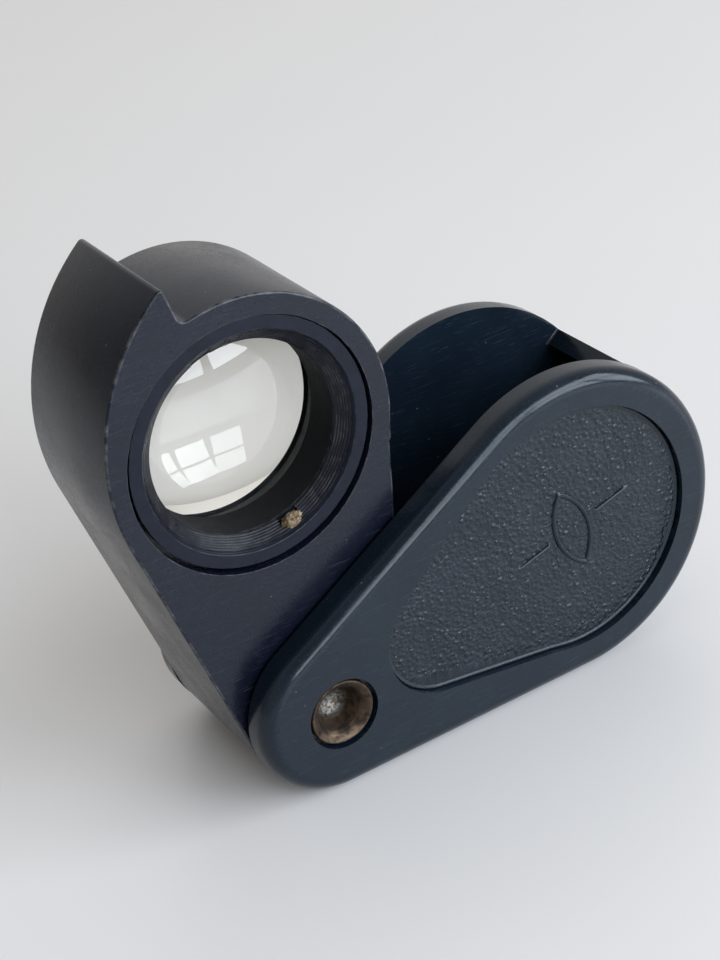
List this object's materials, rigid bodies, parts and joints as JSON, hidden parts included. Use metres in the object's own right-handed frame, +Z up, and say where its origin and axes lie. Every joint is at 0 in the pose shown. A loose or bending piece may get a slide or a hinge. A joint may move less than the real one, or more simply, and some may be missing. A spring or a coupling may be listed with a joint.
{
  "type": "folding viewing loupe",
  "caption": "Folding pocket loupe: a round lens holder with a thumb horn swings on a hollow rivet out of a teardrop U-shaped black plastic case.",
  "frame": {"origin": "middle of the flat flank that the case rests on, at mid thickness", "axes": "+X along the resting flank towards the case's big end, +Y from the riveted front cheek to the rear cheek, +Z up from the resting flank"},
  "size_m": [0.0584, 0.0218, 0.0519],
  "materials": {
    "case_plastic": "black, satin to gloss",
    "holder_plastic": "black, satin",
    "grained_panel": "black, leather grain",
    "barrel_black": "black anodised",
    "ring_black": "black anodised, fine turned",
    "sleeve_black": "matt black",
    "flint_glass": "polished",
    "crown_glass": "polished",
    "rivet_brass": "dark, tarnished",
    "washer_bronze": "satin"
  },
  "bodies": {
    "case_body": {"case": "case_plastic", "front_grip_panel": "grained_panel", "rear_grip_panel": "grained_panel", "pivot_rivet": "rivet_brass", "front_washer": "washer_bronze", "rear_washer": "washer_bronze"},
    "holder_body": {"lens_holder": "holder_plastic", "lens_barrel": "barrel_black", "front_retaining_ring": "ring_black", "spacer_sleeve": "sleeve_black", "front_flint_lens": "flint_glass", "crown_lens": "crown_glass", "rear_flint_lens": "flint_glass"}
  },
  "joints": [
    {"name": "holder_swing", "type": "hinge", "parent": "case_body", "child": "holder_body", "pos_m": [-0.01349, 0, 0.0081], "axis": [0, -1, 0], "range_deg": [-75.8, 73]}
  ]
}
